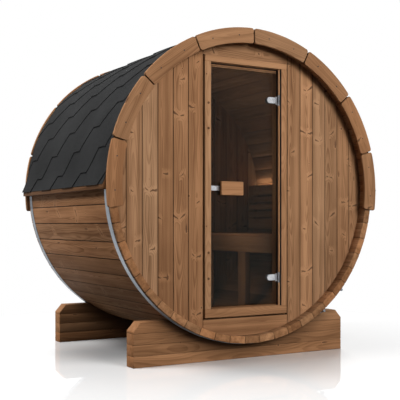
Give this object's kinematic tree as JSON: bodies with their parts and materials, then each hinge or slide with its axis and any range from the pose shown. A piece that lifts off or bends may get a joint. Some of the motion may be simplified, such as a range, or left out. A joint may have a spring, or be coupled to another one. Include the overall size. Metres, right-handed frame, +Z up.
{
  "type": "barrel sauna",
  "caption": "Barrel-shaped outdoor sauna of wooden staves and steel hoops on two cradles, with a shingled roof, a hinged glass door and a slatted bench inside.",
  "frame": {"origin": "middle of the footprint on the ground, under the barrel", "axes": "+Z up, -Y out of the door end, +X to the right as the door end is seen"},
  "size_m": [2.1, 1.5206, 2.1278],
  "materials": {
    "wood_stave": "planed, heat-treated",
    "wood_wall": "planed, heat-treated",
    "wood_trim": "planed, heat-treated",
    "wood_frame": "planed, heat-treated",
    "wood_cradle": "planed, laminated",
    "wood_bench": "planed",
    "wood_handle": "sanded",
    "shingle": "matt, granular bitumen felt",
    "steel_hoop": "satin",
    "steel_fitting": "satin",
    "door_glass": "bronze tinted",
    "rubber_seal": "matt",
    "black_screw": "black oxide",
    "lamp_strip": "opal diffuser"
  },
  "bodies": {
    "cabin": {"staves_top": "wood_stave", "staves_right_high": "wood_stave", "staves_right_low": "wood_stave", "staves_bottom": "wood_stave", "staves_left_low": "wood_stave", "staves_left_high": "wood_stave", "front_wall_left": "wood_wall", "front_wall_right": "wood_wall", "front_wall_header": "wood_wall", "front_wall_apron": "wood_wall", "rear_wall_left": "wood_wall", "rear_wall_middle": "wood_wall", "rear_wall_right": "wood_wall", "front_arc_left": "wood_trim", "front_arc_right": "wood_trim", "rear_arc_left": "wood_trim", "rear_arc_right": "wood_trim", "eave_left": "wood_trim", "eave_right": "wood_trim", "jamb_left": "wood_frame", "jamb_right": "wood_frame", "door_head": "wood_frame", "door_sill": "wood_frame", "door_stops": "wood_frame", "cradle_front": "wood_cradle", "cradle_rear": "wood_cradle", "bench_seat": "wood_bench", "bench_fascia": "wood_bench", "bench_bearers": "wood_bench", "bench_legs": "wood_bench", "backrest_slats": "wood_bench", "backrest_uprights": "wood_bench", "roof_left": "shingle", "roof_right": "shingle", "hoop_front": "steel_hoop", "hoop_rear": "steel_hoop", "hinge_plates": "steel_fitting"},
    "door": {"door_glass": "door_glass", "hinge_clamps": "steel_fitting", "handle_outside": "wood_handle", "handle_inside": "wood_handle", "handle_posts": "steel_fitting", "door_catch": "steel_fitting"}
  },
  "joints": [
    {"name": "door_swing", "type": "hinge", "parent": "cabin", "child": "door", "pos_m": [0.2565, -0.6353, 1.1], "axis": [0, 0, 1], "range_deg": [0, 100]}
  ]
}
